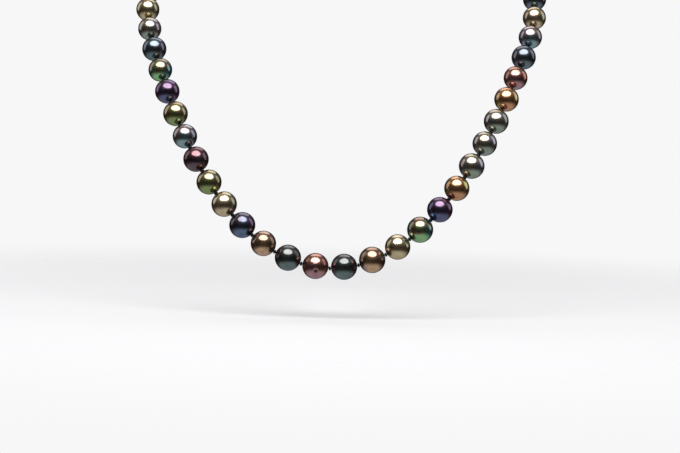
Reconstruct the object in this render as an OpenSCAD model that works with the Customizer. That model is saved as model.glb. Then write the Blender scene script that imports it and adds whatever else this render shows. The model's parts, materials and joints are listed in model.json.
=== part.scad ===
// Pearl necklace: a hand-knotted strand of near-round drilled pearls on black silk, closed at the
// nape by a magnetic ball clasp. Millimetres, +Z up. The origin is the middle of the clasp, at the
// nape; +X is the wearer's left-to-right line as seen from the front, and the front hangs at -Y, -Z.
// Both sides of the strand are walked out from the front centre knot, one pearl after another.

/* [Pearls] */
// Pearls on each side of the front centre knot
pearls_a_side = 24; // [20:1:24]
// Diameter of the pearls beside the front centre knot
front_pearl_d = 9.4; // [7:0.1:12]
// Diameter of the last pearl beside the clasp
nape_pearl_d = 8.3; // [6:0.1:11]
// How fast the pearls get smaller towards the nape (1 is even, more keeps the front large)
grading = 1.2; // [0.8:0.1:3]
// How far a matched pair strays from the even grading, in diameter
pair_scatter = 0.16; // [0:0.02:0.3]
// Bore drilled through each pearl
bore_d = 0.8; // [0.7:0.05:1.1]
// Width of the rounded lip where the bore meets the pearl's skin
bore_lip = 0.12; // [0.05:0.01:0.2]

/* [Silk] */
// Diameter of the silk inside a pearl
silk_d = 0.5; // [0.3:0.05:0.6]
// Width of a knot across the strand
knot_w = 1.6; // [1.1:0.05:1.8]
// Length of a knot along the strand
knot_l = 0.8; // [0.6:0.05:1]
// Air left between a knot and each pearl beside it, where the strand bends most
knot_air = 0.02; // [0.01:0.01:0.15]

/* [Drape] */
// Radius of the bend at the lowest point of the front
hang_r = 37; // [28:1:48]
// How far the strand leans back at the front centre, in degrees from upright
lean_front = 8; // [0:1:20]
// How far it leans back at the nape
lean_nape = 62; // [45:1:80]
// Length of strand over which the sides turn in to the nape
turn_l = 120; // [90:5:140]
// Pearls between the front centre knot and each knot where the front flexes
flex_at = 5; // [3:1:8]
// Pearls between the front centre knot and each knot that lies on a shoulder
shoulder_at = 14; // [12:1:17]

/* [Clasp] */
// Diameter of the ball that the two clasp halves make
ball_d = 8.4; // [7:0.1:12]
// Diameter of each magnet
magnet_d = 4.8; // [4:0.1:6]
// Thickness of each magnet
magnet_t = 1.8; // [1.2:0.1:2.4]
// How far one magnet stands into the other half's pocket
magnet_proud = 0.6; // [0.3:0.05:0.9]
// Air left round the magnet that enters the other half, and between the two magnets
magnet_air = 0.12; // [0.08:0.01:0.3]
// Middle-line radius of the eye on each half
eye_r = 1.1; // [1:0.05:1.6]
// Wire diameter of the eye
eye_wire_d = 0.7; // [0.5:0.05:0.9]

/* [French wire] */
// Middle-line radius of the loop of coiled wire through the eye
loop_r = 1.25; // [1.1:0.05:1.8]
// Outer diameter of the coiled wire
gimp_d = 0.72; // [0.66:0.02:0.9]
// Air between the coiled wire and the silk in it
gimp_air = 0.02; // [0.01:0.01:0.05]
// Air between the loop and the eye that swings on it
eye_air = 0.12; // [0.08:0.01:0.2]
// Straight silk between the loop and its end knot
tail_l = 0.5; // [0.3:0.1:1.5]

/* [Hidden] */
last = pearls_a_side - 1;
sides = ["left", "right"];
// The sharpest bend from one pearl to the next, at the front or on the way round to the nape
sharpest = (front_pearl_d + knot_l) * max(180 / PI / hang_r, 150 / turn_l);
// There the two pearls beside a knot lean in on its rim by this much each.
bend_room = front_pearl_d / 2 * (1 - cos(sharpest / 2));
gap = knot_l + 2 * (knot_air + bend_room);  // between neighbouring pearls
// A pair's diameter: graded from the front to the nape, with a small regular-looking scatter.
function pearl_d(i) =
    front_pearl_d - (front_pearl_d - nape_pearl_d) * pow(i / last, grading)
    + pair_scatter * sin(137.5 * i) * min(1, (last - i) / 2);
function link_l(i) = pearl_d(i) + gap;  // knot to knot, past pearl i
function total(list, n) = n < 1 ? 0 : list[n - 1] + total(list, n - 1);
links = [for (i = [0:last]) link_l(i)];
// Strand length from the front centre knot to the middle of pearl i
mids = [for (i = [0:last]) total(links, i) + links[i] / 2];

// Where the clasp's pieces lie, measured outwards from the face where the halves meet
eye_at = ball_d / 2 + eye_r - eye_wire_d / 2;
loop_near = eye_at + eye_r - eye_wire_d / 2 - gimp_d / 2 - eye_air;  // the swing's axis
loop_at = loop_near + loop_r;
end_knot_at = loop_at + loop_r + gimp_d / 2 + tail_l + knot_l / 2;
half_l = total(links, pearls_a_side) + end_knot_at;

// The strand turns from its lowest point like a hanging chain, then eases round to the nape.
function ease(t) = let (u = min(max(t, 0), 1)) u * u * (3 - 2 * u);
function turn(s, start) =
    atan(s / hang_r) + (180 - atan(half_l / hang_r)) * ease((s - start) / turn_l);
function lean(s) = lean_front + (lean_nape - lean_front) * s / half_l;
// How far from the middle plane the end knot lands, less where the clasp needs it
function miss(start, i = 0) =
    i > last ? -end_knot_at : links[i] * cos(turn(mids[i], start)) + miss(start, i + 1);
// The turn starts where the two ends just meet at the clasp (halving the interval).
function closing_start(lo, hi, tries) =
    let (m = (lo + hi) / 2) tries == 0 ? m
    : miss(m) > 0 ? closing_start(lo, m, tries - 1) : closing_start(m, hi, tries - 1);
turn_start = closing_start(0.2 * half_l, half_l, 40);
function heading(i) =
    let (t = turn(mids[i], turn_start), l = lean(mids[i]))
    [cos(t), sin(t) * sin(l), sin(t) * cos(l)];
headings = [for (i = [0:last]) heading(i)];
function walked(i) = i == 0 ? [0, 0, 0] : walked(i - 1) + links[i - 1] * headings[i - 1];
nape = [0, walked(pearls_a_side)[1], walked(pearls_a_side)[2]];
// Knot i on the right side, knot 0 being the front centre one; the left side mirrors it.
knots = [for (i = [0:pearls_a_side]) walked(i) - nape];
function at_side(p, side) = side == "left" ? [-p[0], p[1], p[2]] : p;
function pearl_name(side, i) = str("pearl_", side, "_", i < 9 ? "0" : "", i + 1);

// A strand section runs from one knot to another, and silk_parts names them front to nape.
silk_parts = ["front", "side", "nape"];
silk_from = [0, flex_at, shoulder_at];
silk_to = [flex_at, shoulder_at, pearls_a_side];

$fn = 64;

// The pearls' body colours, each under the letter that the two sides' lists use
tone_letters = "rkbncowmapdsg";
tone_colours = ["#9a6a5a", "#3a403e", "#7a6452", "#383644", "#a59f80", "#8a8560", "#553f47", "#8f8489",
    "#4c3a5c", "#4f7a6c", "#3f4a58", "#7f857a", "#b08050"];
// Colours from the front centre to the nape: copper-rose, black-green, bronze, night, champagne...
tones_left = "rkbncowmoapdscgkmonbspwd";
tones_right = "kbcpagsssgrdmcdobkwpmngs";
function tone(side, i) =
    tone_colours[search((side == "left" ? tones_left : tones_right)[i], tone_letters)[0]];

// Stands a child that is drawn along +Z on point p, along direction d.
module along(p, d) {
    translate(p) rotate([0, acos(d[2] / norm(d)), atan2(d[1], d[0])]) children();
}

// One pearl: a drilled ball with the bore's lips rounded off by small cones.
module pearl(side, i) {
    r = pearl_d(i) / 2;
    lip_at = sqrt(r * r - pow(bore_d / 2 + bore_lip, 2));
    color(tone(side, i))
    along(at_side((knots[i] + knots[i + 1]) / 2, side), at_side(headings[i], side))
        difference() {
            sphere(r);
            cylinder(h = 3 * r, d = bore_d, center = true);
            for (end = [0, 180]) rotate([end, 0, 0])
                translate([0, 0, lip_at - bore_lip])
                    cylinder(h = 2 * bore_lip, r1 = bore_d / 2, r2 = bore_d / 2 + 2 * bore_lip);
        }
}

// One knot: a rounded bead of silk, flattened along the strand.
module knot() {
    r = knot_l / 2;
    rotate_extrude() {
        intersection() {
            translate([knot_w / 2 - r, 0]) circle(r);
            translate([0, -r]) square([knot_w, knot_l]);
        }
        translate([0, -r]) square([knot_w / 2 - r, knot_l]);
    }
}

// The direction of the strand at knot i, half way between the pearls beside it
function knot_heading(i) =
    i == 0 ? [1, 0, 0] : i > last ? [-1, 0, 0] : headings[i - 1] + headings[i];

// A length of silk with its knots, from knot a to knot b of one side. The left half's sections
// hold the knot nearer the clasp, and the right half's the one nearer the front, so that each
// section starts inside a pearl, just past a knot of the section before it.
module silk(side, a, b) {
    start_past = knot_w / 2;  // where a section begins, clear of the knot it flexes on
    holds_near = side == "right";
    first = holds_near ? a : a + 1;
    end = holds_near && b < pearls_a_side ? b - 1 : b;
    color("#17151a") union() {
        for (i = [a:b - 1]) {
            cut_a = !holds_near && i == a;
            cut_b = holds_near && i == b - 1 && b < pearls_a_side;
            length = links[i] - (cut_a || cut_b ? start_past : 0);
            from = knots[i] + (cut_a ? start_past : 0) * headings[i];
            along(at_side(from, side), at_side(headings[i], side)) cylinder(h = length, d = silk_d);
        }
        for (i = [first:end]) along(at_side(knots[i], side), at_side(knot_heading(i), side)) knot();
        if (b == pearls_a_side) silk_tail(side);
    }
}

// Mirrors a clasp piece drawn outwards along +X to the left side.
module to_side(side) {
    mirror([side == "left" ? 1 : 0, 0, 0]) children();
}

// The silk's end: a straight tail from the end knot, and the loop that runs in the French wire.
module silk_tail(side) {
    to_side(side) {
        translate([loop_at + loop_r, 0, 0]) rotate([0, 90, 0])
            cylinder(h = end_knot_at - loop_at - loop_r, d = silk_d);
        translate([loop_at, 0, 0]) rotate_extrude() translate([loop_r, 0]) circle(d = silk_d);
    }
}

// French wire: a coiled sleeve on the silk's loop, open where the silk's two legs join.
module french_wire(side) {
    open_half = asin(min(0.95, (gimp_d / 2 + gimp_air) / loop_r)) + 12;
    color("silver") to_side(side) translate([loop_at, 0, 0]) rotate([0, 0, open_half])
        rotate_extrude(angle = 360 - 2 * open_half) translate([loop_r, 0]) difference() {
            circle(d = gimp_d);
            circle(d = silk_d + 2 * gimp_air);
        }
}

// Half of the ball clasp with its cast eye. The left half's magnet stands proud of its face and
// enters the right half's deeper pocket, which lines the halves up.
module clasp_half(side) {
    proud = side == "left" ? magnet_proud : -(magnet_proud + magnet_air);
    pocket_d = magnet_d + (side == "left" ? 0 : 2 * magnet_air);
    color("gainsboro") to_side(side) difference() {
        union() {
            intersection() {
                sphere(d = ball_d);
                translate([0, -ball_d, -ball_d]) cube([ball_d, 2 * ball_d, 2 * ball_d]);
            }
            translate([eye_at, 0, 0]) rotate([90, 0, 0])
                rotate_extrude() translate([eye_r, 0]) circle(d = eye_wire_d);
        }
        translate([-1, 0, 0]) rotate([0, 90, 0]) cylinder(h = 1 + magnet_seat(side), d = magnet_d);
        translate([-1, 0, 0]) rotate([0, 90, 0])
            cylinder(h = 1 + magnet_proud + magnet_air, d = pocket_d);
    }
}

// How deep the magnet's pocket is in a half
function magnet_seat(side) = magnet_t + (side == "left" ? -magnet_proud : magnet_proud + magnet_air);

// Disc magnet, pressed into its half
module clasp_magnet(side) {
    color("dimgray") to_side(side) translate([magnet_seat(side) - magnet_t, 0, 0])
        rotate([0, 90, 0]) cylinder(h = magnet_t, d = magnet_d);
}

for (side = sides) {
    for (i = [0:last])
        pearl(side, i);
    for (p = [0:2])
        silk(side, silk_from[p], silk_to[p]);
    french_wire(side);
    clasp_half(side);
    clasp_magnet(side);
}
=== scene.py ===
"""A hand-knotted strand of dark pearls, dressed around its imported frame: nacre, silk, French wire and clasp."""
import json
import math

import bpy
import numpy as np
from mathutils import Matrix, Vector


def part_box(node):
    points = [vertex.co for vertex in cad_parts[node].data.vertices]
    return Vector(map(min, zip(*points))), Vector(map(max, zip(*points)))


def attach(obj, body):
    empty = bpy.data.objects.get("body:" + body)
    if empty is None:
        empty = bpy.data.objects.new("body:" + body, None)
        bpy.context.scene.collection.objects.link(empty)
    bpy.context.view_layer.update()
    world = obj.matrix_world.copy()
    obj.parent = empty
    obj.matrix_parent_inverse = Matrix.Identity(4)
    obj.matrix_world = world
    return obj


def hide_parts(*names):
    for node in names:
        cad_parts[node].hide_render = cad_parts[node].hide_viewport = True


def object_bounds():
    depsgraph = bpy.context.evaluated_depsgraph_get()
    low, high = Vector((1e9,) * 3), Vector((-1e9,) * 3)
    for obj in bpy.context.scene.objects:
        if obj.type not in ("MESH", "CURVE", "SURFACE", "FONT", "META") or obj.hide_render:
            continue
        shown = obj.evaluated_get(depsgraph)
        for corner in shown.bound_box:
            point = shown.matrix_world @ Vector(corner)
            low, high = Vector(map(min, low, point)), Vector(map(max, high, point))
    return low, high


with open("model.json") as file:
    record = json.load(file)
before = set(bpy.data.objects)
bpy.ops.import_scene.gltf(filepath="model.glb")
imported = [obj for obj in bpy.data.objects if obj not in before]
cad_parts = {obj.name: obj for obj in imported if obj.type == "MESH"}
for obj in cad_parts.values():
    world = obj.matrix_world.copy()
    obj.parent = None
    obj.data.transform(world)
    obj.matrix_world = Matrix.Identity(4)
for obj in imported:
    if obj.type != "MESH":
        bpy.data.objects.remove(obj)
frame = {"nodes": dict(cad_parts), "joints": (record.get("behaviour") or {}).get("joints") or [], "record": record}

bl_info = {
    "name": "Knotted Pearl Strand",
    "version": (1, 0, 0),
    "blender": (4, 5, 0),
    "location": "View3D > Sidebar > Pearls",
    "description": "Dresses a knotted pearl strand with nacre, silk, coiled wire and a polished clasp",
    "category": "Add Mesh",
}

MM = 0.001
SIDES = ("left", "right")
JOINTS = {joint["name"]: joint for joint in frame["joints"]}
SLOTS = {part["node"]: part["material_slot"] for part in frame["record"]["subparts"]}
BODY_OF = {node: body for body, nodes in frame["record"]["behaviour"]["bodies"].items() for node in nodes}
PEARLS = {side: sorted(node for node in frame["nodes"] if node.startswith(f"pearl_{side}_")) for side in SIDES}
CAD_LOW, CAD_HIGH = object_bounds()
FRONT_KNOT = np.array(JOINTS["loop_open_centre"]["pos_m"])

# Each tone of nacre: its own colour, a painted sheen laid low on the front of the pearl and in random patches, and a
# painted sheen on its left and right sides.
TONES = {
    "pearl_copper_rose": ((0.34, 0.17, 0.13), (0.34, 0.19, 0.22), (0.42, 0.17, 0.13)),
    "pearl_black_green": ((0.085, 0.088, 0.085), (0.105, 0.155, 0.155), (0.125, 0.11, 0.13)),
    "pearl_bronze": ((0.27, 0.17, 0.11), (0.48, 0.31, 0.19), (0.24, 0.17, 0.15)),
    "pearl_midnight": ((0.085, 0.072, 0.098), (0.09, 0.13, 0.21), (0.14, 0.10, 0.17)),
    "pearl_champagne": ((0.38, 0.30, 0.19), (0.48, 0.39, 0.24), (0.33, 0.33, 0.22)),
    "pearl_olive_gold": ((0.28, 0.23, 0.12), (0.20, 0.27, 0.10), (0.31, 0.28, 0.18)),
    "pearl_black_cherry": ((0.13, 0.060, 0.070), (0.10, 0.070, 0.085), (0.17, 0.12, 0.14)),
    "pearl_silver_mauve": ((0.28, 0.22, 0.22), (0.19, 0.31, 0.33), (0.28, 0.23, 0.35)),
    "pearl_aubergine": ((0.10, 0.062, 0.105), (0.085, 0.10, 0.19), (0.16, 0.10, 0.18)),
    "pearl_peacock": ((0.24, 0.16, 0.11), (0.20, 0.40, 0.18), (0.12, 0.32, 0.38)),
    "pearl_slate": ((0.095, 0.105, 0.125), (0.10, 0.15, 0.18), (0.15, 0.15, 0.21)),
    "pearl_silver_green": ((0.32, 0.27, 0.21), (0.22, 0.27, 0.22), (0.32, 0.31, 0.37)),
    "pearl_copper_gold": ((0.42, 0.23, 0.12), (0.46, 0.23, 0.12), (0.50, 0.44, 0.17)),
}
LAYERS = {
    "body": "The nacre's own colour",
    # Painted sheen: this overtone colour is laid low on the front of each pearl, where the front view sees it, and also
    # in random patches.
    "bloom": "The overtone that shows low on the pearl and in patches",
    # Painted sheen: this colour is laid on each pearl's left and right sides as seen from the front.
    "side_sheen": "The colour that its two sides lean to",
}


def tone_properties():
    """One colour property for each layer of each tone of nacre."""
    return {
        f"{tone}_{layer}": bpy.props.FloatVectorProperty(
            name=f"{tone.replace('_', ' ').capitalize()}, {layer}",
            description=LAYERS[layer],
            default=colour,
            min=0.0,
            max=1.0,
            size=3,
            subtype="COLOR",
        )
        for tone, colours in TONES.items()
        for layer, colour in zip(LAYERS, colours)
    }


def length_property(name, description, default_mm, low_mm, high_mm):
    """A length, given in millimetres and kept in metres."""
    return bpy.props.FloatProperty(
        name=name,
        description=description,
        default=default_mm * MM,
        min=low_mm * MM,
        max=high_mm * MM,
        precision=5,
        subtype="DISTANCE",
        unit="LENGTH",
    )


class PearlTones(bpy.types.PropertyGroup):
    __annotations__ = tone_properties()


class StrandSizes(bpy.types.PropertyGroup):
    out_of_round: bpy.props.FloatProperty(
        name="Out of round",
        description="How far a pearl falls short of a true ball, as a share of its radius",
        default=0.010,
        min=0.0,
        max=0.03,
        subtype="FACTOR",
    )
    pit_depth: length_property("Pit depth", "Depth of the small growth marks in the nacre", 0.04, 0, 0.1)
    bore: length_property("Bore", "Diameter of the hole drilled through each pearl", 0.8, 0.5, 1.2)
    lip: length_property("Lip", "How far the bore's mouth is rounded off", 0.12, 0.05, 0.2)
    silk: length_property("Silk", "Diameter of the silk cord between its knots", 0.5, 0.3, 0.6)
    knot_width: length_property("Knot width", "Width of a knot across the strand", 1.6, 1.1, 1.8)
    knot_length: length_property("Knot length", "Length of a knot along the strand", 0.8, 0.6, 1.0)
    loop_radius: length_property("Loop radius", "Radius of the silk's end loop through the eye", 1.25, 1.1, 1.8)
    gimp: length_property("French wire", "Outside diameter of the coiled sleeve on the loop", 0.72, 0.6, 0.9)
    gimp_wire: length_property("Coil wire", "Thickness of the wire that the sleeve is coiled from", 0.09, 0.05, 0.1)
    eye_radius: length_property("Eye radius", "Radius of the clasp's eye, to the middle of its wire", 1.1, 1.0, 1.6)
    eye_wire: length_property("Eye wire", "Thickness of the clasp's eye", 0.7, 0.5, 0.9)
    magnet_clearance: length_property("Magnet clearance", "Room round the magnet that enters", 0.12, 0.08, 0.3)
    edge: length_property("Soft edge", "Radius that the clasp's rim is polished to", 0.14, 0.05, 0.3)


class StudioSettings(bpy.types.PropertyGroup):
    distance: bpy.props.FloatProperty(
        name="Camera distance",
        description="From the camera to the strand's front",
        default=0.62,
        min=0.3,
        max=2.0,
        subtype="DISTANCE",
        unit="LENGTH",
    )
    lens: bpy.props.FloatProperty(
        name="Lens",
        description="Focal length in millimetres, on a 36 mm wide sensor",
        default=90.5,
        min=35.0,
        max=200.0,
        subtype="DISTANCE_CAMERA",
    )
    aim: bpy.props.FloatVectorProperty(
        name="Aim",
        description="What the camera looks at, from the front knot",
        default=(0.0029, 0.0121, 0.0144),
        size=3,
        subtype="TRANSLATION",
        unit="LENGTH",
    )
    pitch: bpy.props.FloatProperty(
        name="Pitch",
        description="How far the camera looks down",
        default=math.radians(3.0),
        subtype="ANGLE",
        unit="ROTATION",
    )
    turn: bpy.props.FloatProperty(
        name="Turn",
        description="How far the camera stands round to one side",
        default=math.radians(1.9),
        subtype="ANGLE",
        unit="ROTATION",
    )
    roll: bpy.props.FloatProperty(
        name="Roll",
        description="How far the camera leans",
        default=math.radians(1.4),
        subtype="ANGLE",
        unit="ROTATION",
    )
    key: bpy.props.FloatProperty(
        name="Key light",
        description="Power of the large softbox over the front",
        default=9.0,
        min=0.0,
        max=60.0,
        subtype="POWER",
        unit="POWER",
    )
    paper: bpy.props.FloatVectorProperty(
        name="Paper",
        description="Colour of the floor",
        default=(0.35, 0.349, 0.354),
        min=0.0,
        max=1.0,
        size=3,
        subtype="COLOR",
    )
    backdrop: bpy.props.FloatVectorProperty(
        name="Backdrop",
        description="Colour behind the strand",
        default=(0.93, 0.93, 0.94),
        min=0.0,
        max=1.0,
        size=3,
        subtype="COLOR",
    )
    floor_gap: length_property("Floor gap", "How far the lowest pearl hangs over the floor", 14.0, 0.1, 50)


# ---------------------------------------------------------------- shapes


def unit(vectors):
    """Each vector over its own length."""
    return vectors / np.linalg.norm(vectors, axis=-1, keepdims=True)


def cross_frames(tangents, toward):
    """For each tangent, two unit vectors square to it: across, as near to toward as it can be, and up."""
    along = unit(tangents)
    across = unit(toward - along * (along @ toward)[..., None])
    return across, np.cross(along, across), along


def grid_quads(rows, columns, wrap):
    """Quads of a grid that closes on itself across its columns, and along its rows too if wrap is set."""
    row = np.arange(rows if wrap else rows - 1)[:, None]
    column = np.arange(columns)[None, :]
    up, over = (row + 1) % rows * columns, (column + 1) % columns
    corners = np.broadcast_arrays(row * columns + column, row * columns + over, up + over, up + column)
    return np.stack([corner.ravel() for corner in corners], axis=1)


def ring_surface(points, wrap=False):
    """A closed surface through rings of points that advance along a path, each turning round it right-handed.

    If wrap is set the last ring joins the first. If not, a fan of triangles closes each end on its middle."""
    rows, columns = points.shape[:2]
    flat = points.reshape(-1, 3)
    quads = grid_quads(rows, columns, wrap)
    if wrap:
        return flat, quads.tolist()
    here, after = np.arange(columns), (np.arange(columns) + 1) % columns
    first, last, top_row = len(flat), len(flat) + 1, (rows - 1) * columns
    bottom = np.stack([after, here, np.full(columns, first)], axis=1)
    top = np.stack([top_row + here, top_row + after, np.full(columns, last)], axis=1)
    flat = np.concatenate([flat, points[:1].mean(axis=1), points[-1:].mean(axis=1)])
    return flat, quads.tolist() + bottom.tolist() + top.tolist()


def tube_rings(path, tangents, radii, sides, toward=(0.0, -1.0, 0.0)):
    """Rings of a tube: point (j, k) is path[j] + radii[j, k] (cos k across + sin k up), square to tangent j."""
    across, up, _ = cross_frames(tangents, np.asarray(toward))
    turn = np.linspace(0.0, 2 * math.pi, sides, endpoint=False)[None, :, None]
    return path[:, None] + radii[:, :, None] * (np.cos(turn) * across[:, None] + np.sin(turn) * up[:, None])


def lathe_rings(profile, axis, sides):
    """Rings of a turned shape: each (height, radius) of the profile carried once round an axis through the origin."""
    height, radius = np.asarray(profile).T
    path, tangents = height[:, None] * axis, np.tile(axis, (len(height), 1))
    return tube_rings(path, tangents, np.tile(radius[:, None], (1, sides)), sides, (0.1, -1.0, 0.3))


def make_piece(name, surfaces, material, stands_for, attributes=()):
    """One smooth object from closed surfaces, at the origin, riding where the node that it stands for rides."""
    points, faces, base = [], [], 0
    for flat, own in surfaces:
        points.append(flat)
        faces += [[corner + base for corner in face] for face in own] if base else own
        base += len(flat)
    mesh = bpy.data.meshes.new(name)
    mesh.from_pydata(np.concatenate(points).tolist(), [], faces)
    mesh.polygons.foreach_set("use_smooth", np.ones(len(mesh.polygons), bool))
    for label, values in attributes:
        layer = mesh.attributes.new(label, "FLOAT_VECTOR", "POINT")
        layer.data.foreach_set("vector", np.ascontiguousarray(values, np.float32).ravel())
    mesh.update()
    mesh.materials.append(material)
    piece = bpy.data.objects.new(name, mesh)
    bpy.context.scene.collection.objects.link(piece)
    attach(piece, BODY_OF[stands_for])
    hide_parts(stands_for)
    return piece


# ---------------------------------------------------------------- pearls

OUTER_ROWS, PEARL_COLUMNS, LIP_ROWS = 60, 104, 5
TYPICAL_RADIUS = 4.5 * MM  # the pits' depth is meant for a pearl of this radius, and goes with it
DIMPLE_TOWARD = (0.08, -1.0, -0.28)  # low on the front
MOUTH_FADE = 0.2  # the growth fades out this near to the mouth of a bore, as a share of the radius


def pearl_place(node):
    """A pearl's middle, its drill axis and its radius, from its spin joint and its CAD box."""
    joint = JOINTS[node + "_spin"]
    low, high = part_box(node)
    return np.array(joint["pos_m"]), unit(np.array(joint["axis"])), max(high - low) / 2


def growth(directions, dimple_middle, draw, sizes, marked):
    """How far the nacre falls short of a true ball in each direction, as a share of the radius, and the painted shade
    for its pits.

    The sum of a slow oval wave round the drill axis, cos 2u, a three-sided one that changes sides, cos 3u, a
    flattening toward one end, a few faint rings round the axis and a few small pits. A ring is a bell,
    exp(-(d / w)^2), of the height d from its own circle, and a pit is one of the angle from its middle.
    A marked pearl has one deep dimple low on its front, with ripples round it. The pits, the dimple and its ripples are
    darkened with painted shade, more where they are deeper."""
    x, y, z = np.moveaxis(directions, -1, 0)
    turn, flat = np.arctan2(y, x), 1 - z * z
    phase = draw.uniform(0, 2 * math.pi, 3)
    short = 0.35 * (1 + flat * np.cos(2 * turn + phase[0])) + 0.12 * (1 + flat * z * np.cos(3 * turn + phase[1]))
    short = sizes.out_of_round * (short + 0.25 * (1 + draw.uniform(-1, 1) * z))
    for _ in range(draw.integers(0, 4)):
        height, width, deep = draw.uniform(-0.75, 0.75), draw.uniform(0.03, 0.06), draw.uniform(0.0004, 0.0011)
        part_way = 0.5 + 0.5 * np.cos(turn + draw.uniform(0, 2 * math.pi))
        short = short + deep * part_way * np.exp(-(((z - height) / width) ** 2))
    pits = 0
    for _ in range(draw.integers(1, 5)):
        away = np.arccos(np.clip(directions @ unit(draw.normal(size=3)), -1, 1))
        pits = pits + draw.uniform(0.2, 1.0) * np.exp(-((away / draw.uniform(0.07, 0.16)) ** 2))
    # Painted shade: the pits are darkened in step with their depth.
    pit_shade = 0.45 * pits
    if marked:
        away = np.arccos(np.clip(directions @ dimple_middle, -1, 1))
        ripples = np.exp(-((away / 0.45) ** 2)) * (1 - np.cos(away / 0.04))
        pits = pits + 5.0 * np.exp(-((away / 0.11) ** 2)) + 0.9 * ripples
        # Painted shade in the dimple and its ripples.
        pit_shade = pit_shade + np.exp(-((away / 0.085) ** 4)) + 0.16 * ripples
    return short + pits * sizes.pit_depth / TYPICAL_RADIUS, pit_shade


def pearl_points(node, sizes, seed, marked):
    """A drilled pearl: its outside from mouth to mouth, then back through the bore, as one closed grid of rings.

    Outside, the ring at angle t from the drill axis has radius R sin t and height R cos t, less the growth. At
    each mouth the wall turns in through a quarter round lip, and inside it follows the bore."""
    middle, axis, radius = pearl_place(node)
    basis = np.concatenate(cross_frames(axis[None, :], np.array((0.0, -1.0, 0.0))))
    draw = np.random.default_rng(seed)
    half_bore = sizes.bore / 2
    mouth = math.asin((half_bore + sizes.lip) / radius)
    finer = 2 if marked else 1
    slope = np.linspace(math.pi - mouth, mouth, finer * OUTER_ROWS)[:, None]
    turn = np.linspace(0.0, 2 * math.pi, finer * PEARL_COLUMNS, endpoint=False)[None, :]

    def rings(across, height):
        """A ring of this radius at this height, for each row."""
        return np.stack(np.broadcast_arrays(across * np.cos(turn), across * np.sin(turn), height), axis=2)

    ball = rings(np.sin(slope), np.cos(slope))
    dimple_middle = basis @ unit(np.array(DIMPLE_TOWARD))
    fade = np.clip((np.sin(slope) - math.sin(mouth)) / MOUTH_FADE, 0, 1)[:, :, None] ** 2
    short, pit_shade = growth(ball, dimple_middle, draw, sizes, marked)
    outside = radius * ball * (1 - fade * short[:, :, None])
    rim = radius * math.cos(mouth)
    quarter = np.linspace(0.0, math.pi / 2, LIP_ROWS + 1)[1:]
    lip_height = rim - 0.9 * sizes.lip * (1 - np.cos(quarter))
    lip_across = half_bore + sizes.lip * (1 - np.sin(quarter))
    height = np.concatenate([lip_height, [0.4 * rim, -0.4 * rim], -lip_height[::-1]])
    across = np.concatenate([lip_across, [half_bore, half_bore], lip_across[::-1]])
    points = np.concatenate([outside, rings(across[:, None], height[:, None])], axis=0)
    shift = draw.uniform(-40, 40, 3)
    placed = points @ basis
    pit_shades = np.zeros_like(points)
    # The painted shade of the pits, on the outside rows only.
    pit_shades[: len(ball)] = pit_shade[:, :, None]
    return middle + placed, points / radius + shift, placed / radius, pit_shades


# ---------------------------------------------------------------- materials


class Finish:
    """A short way to lay out a material's nodes."""

    def __init__(self, name):
        self.material = bpy.data.materials.new(name)
        self.material.use_nodes = True
        self.tree = self.material.node_tree
        self.shader = self.tree.nodes["Principled BSDF"]

    def plug(self, socket, value):
        """Links another node's output to a socket, or sets the socket to a value."""
        if isinstance(value, bpy.types.NodeSocket):
            self.tree.links.new(value, socket)
        elif isinstance(value, (tuple, list)) and len(socket.default_value) == 4:
            socket.default_value = (*value[:3], 1.0)
        else:
            socket.default_value = value

    def node(self, kind, settings=None, **inputs):
        """A node with its settings, and inputs that are values or other nodes' outputs."""
        made = self.tree.nodes.new(kind)
        for key, value in (settings or {}).items():
            setattr(made, key, value)
        for key, value in inputs.items():
            self.plug(made.inputs[key.replace("_", " ")], value)
        return made

    def surface(self, **inputs):
        """The finished material, with these inputs on its shader."""
        for key, value in inputs.items():
            self.plug(self.shader.inputs[key.replace("_", " ")], value)
        return self.material

    def mix(self, factor, a, b, blend="MIX"):
        """Colour a, turning to colour b as the factor goes to 1."""
        made = self.node("ShaderNodeMix", {"data_type": "RGBA", "blend_type": blend})
        for index, value in ((0, factor), (6, a), (7, b)):
            self.plug(made.inputs[index], value)
        return made.outputs[2]

    def ramp(self, value, low, high, to_low=0.0, to_high=1.0):
        """A value that eases from to_low to to_high as the input goes from low to high."""
        limits = {"From_Min": low, "From_Max": high, "To_Min": to_low, "To_Max": to_high}
        settings = {"interpolation_type": "SMOOTHSTEP"}
        return self.node("ShaderNodeMapRange", settings, Value=value, **limits).outputs["Result"]

    def maths(self, operation, *values):
        """One sum, or other operation, of values."""
        made = self.node("ShaderNodeMath", {"operation": operation})
        for socket, value in zip(made.inputs, values):
            self.plug(socket, value)
        return made.outputs[0]

    def lean_along(self, vector, direction):
        """How far the vector points along a direction."""
        made = self.node("ShaderNodeVectorMath", {"operation": "DOT_PRODUCT"})
        self.plug(made.inputs[0], vector)
        made.inputs[1].default_value = direction
        return made.outputs["Value"]

    def noise(self, place, scale, detail=3.0, roughness=0.5):
        """A cloudy value round 0.5, with this many clouds to a unit of the place."""
        made = self.node("ShaderNodeTexNoise", None, Vector=place, Scale=scale, Detail=detail, Roughness=roughness)
        return made.outputs["Fac"]

    def attribute(self, name):
        """A value that the mesh keeps at its points."""
        return self.node("ShaderNodeAttribute", {"attribute_name": name}).outputs["Vector"]

    def bump(self, height, strength, distance, under=None):
        """A slight relief of this depth, laid over another one if that is given."""
        more = {"Normal": under} if under else {}
        return self.node("ShaderNodeBump", None, Height=height, Strength=strength, Distance=distance, **more).outputs[0]


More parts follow.
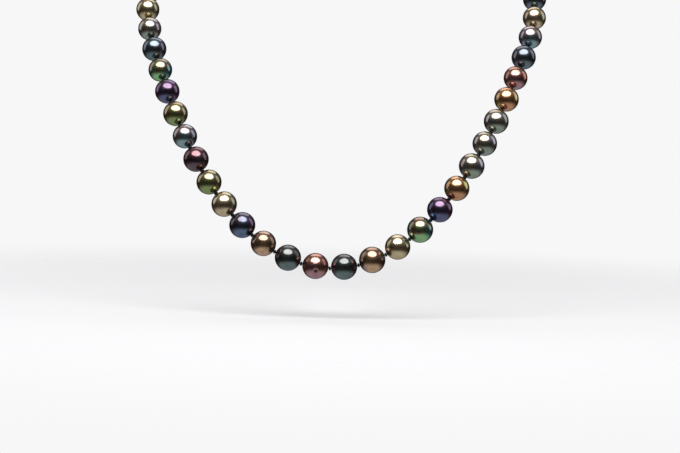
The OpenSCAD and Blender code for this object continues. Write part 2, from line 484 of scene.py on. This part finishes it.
def nacre_finish(tone, body, bloom, side_sheen):
    """Nacre: a dark body, a painted sheen low on the front and in random patches, a painted sheen on the left and right
    sides, painted shade in the pits, and a bright skin.
    """
    n = Finish(tone)
    place, zone = n.attribute("nacre_place"), n.attribute("nacre_zone")
    low_front, one_side = (0.0, -0.62, -0.78), (0.97, -0.1, 0.2)
    wander = n.ramp(n.noise(place, 1.7, 2.0), 0.3, 0.7, -0.28, 0.28)
    # Painted sheen: the zone directions are fixed on each pearl as it rests, so this colour sits low on the side that
    # faces the front.
    low = n.ramp(n.maths("ADD", n.lean_along(zone, low_front), wander), 0.35, 0.85)
    colour = n.mix(low, body, bloom)
    # Painted sheen on the left and right sides as seen from the front.
    sideways = n.maths("ABSOLUTE", n.lean_along(zone, one_side))
    colour = n.mix(n.ramp(n.maths("ADD", sideways, wander), 0.45, 0.95), colour, side_sheen)
    colour = n.mix(n.ramp(n.noise(place, 0.8, 2.0), 0.52, 0.72, 0.0, 0.7), colour, bloom)
    swirl = n.ramp(n.noise(place, 3.0, 4.0, 0.6), 0.3, 0.7, 0.88, 1.12)
    shade = n.node("ShaderNodeCombineXYZ", None, X=swirl, Y=swirl, Z=swirl).outputs[0]
    colour = n.mix(1.0, colour, shade, "MULTIPLY")
    # Painted shade: pits and the dimple are darkened toward 0.18 of the body colour.
    colour = n.mix(n.ramp(n.attribute("nacre_pit_shade"), 0.0, 1.0), colour, tuple(0.18 * c for c in body))
    ripple, grain = n.noise(place, 7.0, 3.0, 0.55), n.noise(place, 45.0, 2.0)
    return n.surface(
        Base_Color=colour,
        Metallic=0.97,
        Roughness=n.ramp(ripple, 0.3, 0.7, 0.16, 0.22),
        Specular_Tint=(0.5, 0.5, 0.55),
        IOR=1.6,
        Coat_Weight=0.35,
        Coat_Roughness=0.12,
        Coat_IOR=1.5,
        Normal=n.bump(grain, 0.02, 0.03 * MM, n.bump(ripple, 0.06, 0.12 * MM)),
    )


def silk_finish():
    """Black twisted silk: near black, with a soft sheen along its plies."""
    n = Finish("silk_black")
    place = n.node("ShaderNodeTexCoord").outputs["Object"]
    fibre = n.noise(place, 9000.0, 3.0, 0.6)
    colour = n.mix(n.ramp(fibre, 0.3, 0.7), (0.0015, 0.001, 0.0015), (0.006, 0.0045, 0.006))
    return n.surface(
        Base_Color=colour,
        Roughness=n.ramp(fibre, 0.3, 0.7, 0.55, 0.8),
        Specular_IOR_Level=0.25,
        Sheen_Weight=0.03,
        Sheen_Roughness=0.4,
        Normal=n.bump(fibre, 0.5, 0.03 * MM),
    )


def metal_finish(name, colour, roughness, marks):
    """Polished metal: faint handling marks in its tint, its gloss and its surface."""
    n = Finish(name)
    place = n.node("ShaderNodeTexCoord").outputs["Object"]
    wear, scratch = n.noise(place, 700.0, 5.0, 0.7), n.noise(place, 7000.0, 2.0)
    return n.surface(
        Base_Color=n.mix(n.ramp(wear, 0.35, 0.75), colour, tuple(0.88 * c for c in colour)),
        Metallic=1.0,
        Roughness=n.ramp(wear, 0.3, 0.8, roughness, roughness + 0.1),
        Normal=n.bump(scratch, marks, 0.01 * MM),
    )


# ---------------------------------------------------------------- silk and wire

PLY_TWIST = 2.4 * MM  # along the cord, for one turn of its three plies
PLY_DEPTH = 0.07  # how deep the grooves between plies are, as a share of the cord's radius
TURN_PITCH = 0.34 * MM  # along the strand, from one wound turn of a knot to the next
CHORD = 0.35 * MM  # each way along the strand from where its direction is wanted
LEG_SPREAD = 0.14 * MM  # how far off the strand's middle each leg of the end loop leaves its knot
LEG_RUN = 0.9 * MM  # how far a leg is steered straight on from there
LEG_PULL = 0.35  # how hard it is steered into the loop, as a share of the loop's radius
COIL_PITCH, RINGS_A_TURN = 1.12, 14  # wire thicknesses from turn to turn, and rings of the mesh for each turn


def knots_of(side):
    """Every knot of one side, from the front one to the nape.

    A pearl's middle is half way between its two knots, so each knot mirrors the one before it in that middle."""
    knots = [FRONT_KNOT]
    for node in PEARLS[side]:
        knots.append(2 * pearl_place(node)[0] - knots[-1])
    return np.array(knots)


def strand_at(knots):
    """How far along the strand each knot lies."""
    return np.concatenate([[0.0], np.cumsum(np.linalg.norm(np.diff(knots, axis=0), axis=1))])


def silk_rings(knots, held, begin, end, sizes, sides=24):
    """Silk as rings from one distance along the strand to another: a three-ply cord, with the knots that it holds.

    The cord's radius is r (1 - depth (1 - cos 3 (u - twist s))). A knot adds a dome, sqrt(1 - (2 s / l)^2), whose
    turns are ridges that wind across it, cos (2 u + winding s). Rings lie close at a knot and apart in a bore."""
    straight = 2 * MM  # strand added beyond each end, so that the last knots have silk on both sides
    first = knots[0] - unit(knots[1] - knots[0]) * straight
    last = knots[-1] + unit(knots[-1] - knots[-2]) * straight
    route = np.concatenate([[first], knots, [last]])
    at = strand_at(route) - straight
    near, inside = np.linspace(-0.8 * MM, 0.8 * MM, 33), np.array([0.3, 0.5, 0.7])
    bores = at[:-1, None] + np.diff(at)[:, None] * inside
    stations = np.sort(np.concatenate([(at[:, None] + near).ravel(), bores.ravel(), [begin, end]]))
    stations = stations[(stations >= begin) & (stations <= end)]

    def route_at(distance):
        """The point of the strand at a distance along it."""
        return np.stack([np.interp(distance, at, route[:, k]) for k in range(3)], axis=1)

    tangents = route_at(stations + CHORD) - route_at(stations - CHORD)
    from_knot = stations[:, None] - at[1:-1][held]
    nearest = np.take_along_axis(from_knot, np.abs(from_knot).argmin(axis=1)[:, None], 1)
    u = np.linspace(0.0, 2 * math.pi, sides, endpoint=False)[None, :]
    cord = sizes.silk / 2 * (1 - PLY_DEPTH * (1 - np.cos(3 * (u - 2 * math.pi * stations[:, None] / PLY_TWIST))))
    dome = np.sqrt(np.clip(1 - (2 * nearest / sizes.knot_length) ** 2, 0, 1))
    turns = 0.95 + 0.05 * np.cos(2 * u + 2 * math.pi * nearest / TURN_PITCH)
    reach = sizes.silk / 2 + (sizes.knot_width - sizes.silk) / 2 * dome * turns
    return tube_rings(route_at(stations), tangents, np.where(dome > 0, np.maximum(cord, reach), cord), sides)


def loop_gap(sizes):
    """The half angle that the French wire leaves open, where the silk's two legs come out of it."""
    return math.asin(sizes.gimp / 2 / sizes.loop_radius) + math.radians(12)


def loop_middle(side, sizes):
    """The middle of the silk's end loop, from the near end of the French wire's CAD box."""
    low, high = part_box("french_wire_" + side)
    reach = sizes.loop_radius + sizes.gimp / 2
    return np.array((low.x + reach if side == "right" else high.x - reach, 0.0, 0.0))


def outward(side):
    """The sign of x on the way out from the clasp: 1 on the right, -1 on the left."""
    return 1.0 if side == "right" else -1.0


def loop_rings(side, end_knot, sizes, sides=14):
    """The silk's end: out of the knot, once round the loop inside its sleeve, and back into the knot.

    The two legs are cubic curves from the knot to the loop, and the loop is a circle in the strand's plane."""
    out, middle, radius, gap = outward(side), loop_middle(side, sizes), sizes.loop_radius, loop_gap(sizes)
    angle = np.linspace(gap, 2 * math.pi - gap, 64)
    circle = middle + radius * np.stack([out * np.cos(angle), np.sin(angle), 0 * angle], axis=1)
    leave = circle[0]
    pull = np.array((out * math.sin(gap), -math.cos(gap), 0.0)) * LEG_PULL * radius
    root = end_knot + np.array((0.0, LEG_SPREAD, 0.0))
    steer = root - np.array((out * LEG_RUN, 0.0, 0.0))
    t = np.linspace(0.0, 1.0, 16, endpoint=False)[:, None]
    leg = (1 - t) ** 3 * root + 3 * (1 - t) ** 2 * t * steer + 3 * (1 - t) * t**2 * (leave + pull) + t**3 * leave
    path = np.concatenate([leg, circle, leg[::-1] * np.array((1.0, -1.0, 1.0))])
    radii = np.full((len(path), sides), sizes.silk / 2)
    return tube_rings(path, np.gradient(path, axis=0), radii, sides, (0.0, 0.0, 1.0))


def coil_rings(side, sizes, sides=6):
    """French wire: a fine wire wound close round the silk's loop.

    At loop angle a and coil angle c, the wire's middle is radius + coil cos c from the loop's middle and
    coil sin c above its plane, and c goes round many times while a goes round once."""
    out, middle, gap = outward(side), loop_middle(side, sizes), loop_gap(sizes)
    span = 2 * (math.pi - gap)
    count = int(span * sizes.loop_radius / (COIL_PITCH * sizes.gimp_wire))
    along_loop = np.linspace(0.0, 1.0, count * RINGS_A_TURN + 1)
    a, c = gap + span * along_loop, 2 * math.pi * count * along_loop
    spoke = np.stack([out * np.cos(a), np.sin(a), 0 * a], axis=1)
    coil = (sizes.gimp - sizes.gimp_wire) / 2
    from_hub = np.cos(c)[:, None] * spoke + np.sin(c)[:, None] * np.array((0.0, 0.0, 1.0))
    path = middle + sizes.loop_radius * spoke + coil * from_hub
    up = np.cross(unit(np.gradient(path, axis=0)), from_hub)
    u = np.linspace(0.0, 2 * math.pi, sides, endpoint=False)[None, :, None]
    return path[:, None] + sizes.gimp_wire / 2 * (np.cos(u) * from_hub[:, None] + np.sin(u) * up[:, None])


# ---------------------------------------------------------------- clasp


def rounded(corner_from, corner, corner_to, radius, steps=7):
    """A corner of a profile, eased: the quadratic curve that leaves one edge and joins the other near the corner."""
    corner = np.asarray(corner, float)
    before = corner + unit(np.asarray(corner_from) - corner) * radius
    after = corner + unit(np.asarray(corner_to) - corner) * radius
    t = np.linspace(0.0, 1.0, steps)[:, None]
    return (1 - t) ** 2 * before + 2 * (1 - t) * t * corner + t**2 * after


def dome_profile(radius, depth, magnet_radius, mouth_depth, mouth_radius, edge):
    """Half a ball, turned: from its crown over the ball to the rim, across the flat face and down into the pocket.

    Heights are measured toward the other half, with the face at 0 and the crown at -radius."""
    bend = np.linspace(0.01, 1.0, 44) * (math.pi / 2 - 1.2 * edge / radius)
    ball = radius * np.stack([-np.cos(bend), np.sin(bend)], axis=1)
    rim = rounded(ball[-1], (0.0, radius), (0.0, mouth_radius), edge)
    lip = rounded((0.0, radius), (0.0, mouth_radius), (-depth, mouth_radius), 0.5 * edge)
    face = np.stack([np.zeros(4), np.linspace(radius - 1.2 * edge, mouth_radius + 0.7 * edge, 4)], axis=1)
    step = [(-mouth_depth, mouth_radius), (-mouth_depth, magnet_radius)] if mouth_depth else []
    floor = [(-depth, magnet_radius), (-depth, 0.5 * magnet_radius), (-depth, 0.02 * magnet_radius)]
    return np.concatenate([ball, rim, face, lip, np.array(step + floor)])


def disc_profile(back, face, radius, edge):
    """A disc, turned: from the middle of its back over two eased edges to the middle of its face."""
    back_edge = rounded((back, 0.0), (back, radius), (face, radius), edge)
    face_edge = rounded((back, radius), (face, radius), (face, 0.0), edge)
    middle, flat = 0.02 * radius, 0.9 * radius - edge
    return np.concatenate([[(back, middle), (back, flat)], back_edge, face_edge, [(face, flat), (face, middle)]])


def eye_rings(middle, radius, wire, rows=72, sides=24):
    """The cast eye: a round wire carried once round a circle that stands in the strand's upright plane."""
    a = np.linspace(0.0, 2 * math.pi, rows, endpoint=False)
    path = middle + radius * np.stack([np.cos(a), 0 * a, np.sin(a)], axis=1)
    tangents = np.stack([-np.sin(a), 0 * a, np.cos(a)], axis=1)
    return tube_rings(path, tangents, np.full((rows, sides), wire / 2), sides, (0.0, 1.0, 0.0))


# ---------------------------------------------------------------- stage


def lay_floor(scene, studio):
    """A round sheet of pale paper whose edge fades into the backdrop."""
    reach, fade_from, fade_to, sides = 1.4, 0.12, 0.38, 96
    height = CAD_LOW.z - studio.floor_gap
    turn = np.linspace(0.0, 2 * math.pi, sides, endpoint=False)
    rim = np.stack([reach * np.cos(turn), reach * np.sin(turn), np.full(sides, height)], axis=1)
    mesh = bpy.data.meshes.new("floor")
    mesh.from_pydata(rim.tolist(), [], [list(range(sides))])
    floor = bpy.data.objects.new("floor", mesh)
    scene.collection.objects.link(floor)
    n = Finish("floor_paper")
    place = n.node("ShaderNodeTexCoord").outputs["Object"]
    paper = n.surface(
        Base_Color=tuple(studio.paper), Roughness=0.9, Normal=n.bump(n.noise(place, 900.0), 0.08, 0.1 * MM)
    )
    away = n.node("ShaderNodeVectorMath", {"operation": "LENGTH"})
    n.plug(away.inputs[0], place)
    fade = n.node("ShaderNodeMixShader", None, Fac=n.ramp(away.outputs["Value"], fade_from, fade_to))
    n.plug(fade.inputs[1], n.shader.outputs[0])
    n.plug(fade.inputs[2], n.node("ShaderNodeBsdfTransparent").outputs[0])
    n.plug(n.tree.nodes["Material Output"].inputs["Surface"], fade.outputs[0])
    mesh.materials.append(paper)
    floor.visible_glossy = False


def hang_world(scene, studio):
    """A plain pale backdrop, which polished things see as a dark room with a pale floor and a soft ceiling."""
    world = bpy.data.worlds.new("studio")
    scene.world = world
    world.use_nodes = True
    world.cycles.sampling_method = "NONE"  # so that polished things see the room and never the backdrop
    nodes, links = world.node_tree.nodes, world.node_tree.links
    plain, room = nodes["Background"], nodes.new("ShaderNodeBackground")
    plain.inputs["Color"].default_value = (*studio.backdrop, 1.0)
    split, height = nodes.new("ShaderNodeSeparateXYZ"), nodes.new("ShaderNodeMapRange")
    links.new(nodes.new("ShaderNodeTexCoord").outputs["Generated"], split.inputs[0])
    height.inputs["From Min"].default_value = -1.0
    links.new(split.outputs["Z"], height.inputs["Value"])
    ramp = nodes.new("ShaderNodeValToRGB")
    ramp.color_ramp.interpolation = "B_SPLINE"
    # How bright the room looks from straight down, 0, to straight up, 1. Where it is dark it is also warmer
    below = {0.0: 0.58, 0.08: 0.74, 0.17: 0.6, 0.25: 0.2, 0.31: 0.05, 0.4: 0.01}
    above = {0.62: 0.015, 0.8: 0.18, 1.0: 0.38}
    stops = ramp.color_ramp.elements
    for position, level in {**below, **above}.items():
        stop = stops[0] if position == 0.0 else stops[-1] if position == 1.0 else stops.new(position)
        cool = 1.0 if level > 0.1 else 0.6
        stop.color = (level, cool * level, cool * cool * level, 1.0)
    links.new(height.outputs[0], ramp.inputs[0])
    links.new(ramp.outputs["Color"], room.inputs["Color"])
    choose = nodes.new("ShaderNodeMixShader")
    links.new(nodes.new("ShaderNodeLightPath").outputs["Is Glossy Ray"], choose.inputs[0])
    links.new(plain.outputs[0], choose.inputs[1])
    links.new(room.outputs[0], choose.inputs[2])
    links.new(choose.outputs[0], nodes["World Output"].inputs["Surface"])


def hang_softbox(scene, name, around, up, away, size, power):
    """A soft oval light, turned to the strand's middle."""
    lamp = bpy.data.lights.new(name, "AREA")
    lamp.shape, lamp.size, lamp.size_y, lamp.energy = "ELLIPSE", size[0], size[1], power
    holder = bpy.data.objects.new(name, lamp)
    scene.collection.objects.link(holder)
    around, up = math.radians(around), math.radians(up)
    out = Vector((math.sin(around) * math.cos(up), -math.cos(around) * math.cos(up), math.sin(up)))
    holder.location = (CAD_LOW + CAD_HIGH) / 2 + away * out
    holder.rotation_euler = (-out).to_track_quat("-Z", "Y").to_euler()
    holder.visible_camera = False


def place_camera(scene, studio):
    """Stands the camera its distance back from what it looks at, turned, pitched and rolled as asked."""
    camera = bpy.data.objects.new("camera", bpy.data.cameras.new("camera"))
    scene.collection.objects.link(camera)
    scene.camera = camera
    camera.data.sensor_width, camera.data.lens = 36.0, studio.lens
    turned = Matrix.Rotation(studio.turn, 3, "Z") @ Matrix.Rotation(math.pi / 2 - studio.pitch, 3, "X")
    turned = turned @ Matrix.Rotation(studio.roll, 3, "Z")
    aim = Vector(FRONT_KNOT) + Vector(studio.aim)
    camera.matrix_world = Matrix.Translation(aim + turned @ Vector((0.0, 0.0, studio.distance))) @ turned.to_4x4()


# ---------------------------------------------------------------- operators


class PEARLS_OT_nacre(bpy.types.Operator):
    """Put a drilled nacre pearl in place of each plain one."""

    bl_idname = "pearls.nacre"
    bl_label = "Nacre Pearls"

    def execute(self, context):
        sizes, tones = context.scene.strand_sizes, context.scene.pearl_tones
        finishes = {
            tone: nacre_finish(tone, *(tuple(getattr(tones, f"{tone}_{layer}")) for layer in LAYERS)) for tone in TONES
        }
        for seed, node in enumerate(PEARLS["left"] + PEARLS["right"]):
            points, place, zone, pit_shades = pearl_points(node, sizes, seed, node == PEARLS["left"][0])
            # nacre_pit_shade carries the painted shade of the pits and the dimple.
            kept = (("nacre_place", place), ("nacre_zone", zone), ("nacre_pit_shade", pit_shades))
            make_piece(node + "_nacre", [ring_surface(points, True)], finishes[SLOTS[node]], node, kept)
        return {"FINISHED"}


class PEARLS_OT_silk(bpy.types.Operator):
    """Run plied silk through the pearls, tied in a knot between each two."""

    bl_idname = "pearls.silk"
    bl_label = "Knotted Silk"

    def execute(self, context):
        sizes, black = context.scene.strand_sizes, silk_finish()
        past_knot = sizes.knot_length / 2 + 0.02 * MM  # a section's cord runs just through each knot that it holds
        clear = sizes.knot_width / 2  # and stops this far short of a knot that the next section holds
        for side in SIDES:
            knots = knots_of(side)
            at, mirror = strand_at(knots), np.array((-outward(side), 1.0, 1.0))
            flexes = [np.array(JOINTS[name]["pos_m"]) * mirror for name in ("loop_open", "front_lift")]
            ends = [0, *(int(np.linalg.norm(knots - flex, axis=1).argmin()) for flex in flexes), len(knots) - 1]
            for part, first, last in zip(("front", "side", "nape"), ends, ends[1:]):
                node, nape = f"silk_{part}_{side}", part == "nape"
                if side == "left":
                    held, begin, end = np.arange(first + 1, last + 1), at[first] + clear, at[last] + past_knot
                else:
                    held, begin = np.arange(first, last + nape), at[first] - past_knot
                    end = at[last] + past_knot if nape else at[last] - clear
                surfaces = [ring_surface(silk_rings(knots, held, begin, end, sizes))]
                if nape:
                    surfaces.append(ring_surface(loop_rings(side, knots[-1], sizes)))
                make_piece(node + "_cord", surfaces, black, node)
        return {"FINISHED"}


class PEARLS_OT_wire(bpy.types.Operator):
    """Wind the French wire round the silk's end loops."""

    bl_idname = "pearls.wire"
    bl_label = "French Wire"

    def execute(self, context):
        silver = metal_finish("wire_silver", (0.78, 0.77, 0.75), 0.18, 0.1)
        for side in SIDES:
            node = "french_wire_" + side
            make_piece(node + "_coil", [ring_surface(coil_rings(side, context.scene.strand_sizes))], silver, node)
        return {"FINISHED"}


class PEARLS_OT_clasp(bpy.types.Operator):
    """Turn the two halves of the ball clasp, with their eyes and magnets."""

    bl_idname = "pearls.clasp"
    bl_label = "Ball Clasp"

    def execute(self, context):
        sizes = context.scene.strand_sizes
        polished = metal_finish("clasp_polished", (0.80, 0.79, 0.77), 0.08, 0.15)
        ground = metal_finish("magnet_ground", (0.46, 0.46, 0.47), 0.28, 0.5)
        for side in SIDES:
            out = outward(side)
            toward_other = np.array((-out, 0.0, 0.0))
            low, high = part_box("clasp_half_" + side)
            tip = max(abs(low.x), abs(high.x))
            eye = np.array((out * (tip - sizes.eye_radius - sizes.eye_wire / 2), 0.0, 0.0))
            magnet_low, magnet_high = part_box("clasp_magnet_" + side)
            near, far = sorted((out * magnet_low.x, out * magnet_high.x))
            radius, magnet_radius = (high.z - low.z) / 2, (magnet_high.z - magnet_low.z) / 2
            mouth = max(near, 0.0)
            mouth_radius = magnet_radius + (sizes.magnet_clearance if mouth else 0.0)
            profile = dome_profile(radius, far, magnet_radius, mouth, mouth_radius, sizes.edge)
            dome = lathe_rings(profile, toward_other, 128)
            ring = ring_surface(eye_rings(eye, sizes.eye_radius, sizes.eye_wire), True)
            node = "clasp_half_" + side
            make_piece(node + "_polished", [ring_surface(dome), ring], polished, node)
            node = "clasp_magnet_" + side
            disc = lathe_rings(disc_profile(-far, -near, magnet_radius, 0.6 * sizes.edge), toward_other, 96)
            make_piece(node + "_ground", [ring_surface(disc)], ground, node)
        return {"FINISHED"}


class PEARLS_OT_stage(bpy.types.Operator):
    """Set the pale floor, the soft lights and the camera."""

    bl_idname = "pearls.stage"
    bl_label = "Stage"

    def execute(self, context):
        scene, studio = context.scene, context.scene.studio_settings
        scene.view_settings.view_transform = "Standard"
        lay_floor(scene, studio)
        hang_world(scene, studio)
        # Each light: degrees round from the front and up, how far off, its width and height, its share of the key
        lights = {
            "softbox_front": (0, 54, 0.62, (0.86, 0.62), 1.1),
            "softbox_back": (180, 56, 0.70, (0.70, 0.50), 0.24),
            "side_light_left": (-100, 20, 0.75, (0.42, 0.70), 0.09),
            "side_light_right": (100, 20, 0.75, (0.42, 0.70), 0.09),
        }
        for name, (around, up, away, size, share) in lights.items():
            hang_softbox(scene, name, around, up, away, size, share * studio.key)
        place_camera(scene, studio)
        return {"FINISHED"}


class PEARLS_PT_strand(bpy.types.Panel):
    """Lists the strand's pieces, its stage and what can be changed."""

    bl_label = "Pearl Strand"
    bl_space_type = "VIEW_3D"
    bl_region_type = "UI"
    bl_category = "Pearls"

    def draw(self, context):
        for operator in OPERATORS:
            self.layout.operator(operator.bl_idname)
        for settings in (context.scene.strand_sizes, context.scene.studio_settings, context.scene.pearl_tones):
            for name in type(settings).__annotations__:
                self.layout.prop(settings, name)


OPERATORS = (PEARLS_OT_nacre, PEARLS_OT_silk, PEARLS_OT_wire, PEARLS_OT_clasp, PEARLS_OT_stage)
CLASSES = (PearlTones, StrandSizes, StudioSettings, *OPERATORS, PEARLS_PT_strand)


def register():
    for cls in CLASSES:
        bpy.utils.register_class(cls)
    bpy.types.Scene.pearl_tones = bpy.props.PointerProperty(type=PearlTones)
    bpy.types.Scene.strand_sizes = bpy.props.PointerProperty(type=StrandSizes)
    bpy.types.Scene.studio_settings = bpy.props.PointerProperty(type=StudioSettings)


def unregister():
    del bpy.types.Scene.studio_settings
    del bpy.types.Scene.strand_sizes
    del bpy.types.Scene.pearl_tones
    for cls in reversed(CLASSES):
        bpy.utils.unregister_class(cls)


def main():
    register()
    bpy.ops.pearls.nacre()
    bpy.ops.pearls.silk()
    bpy.ops.pearls.wire()
    bpy.ops.pearls.clasp()
    bpy.ops.pearls.stage()


if __name__ == "__main__":
    main()
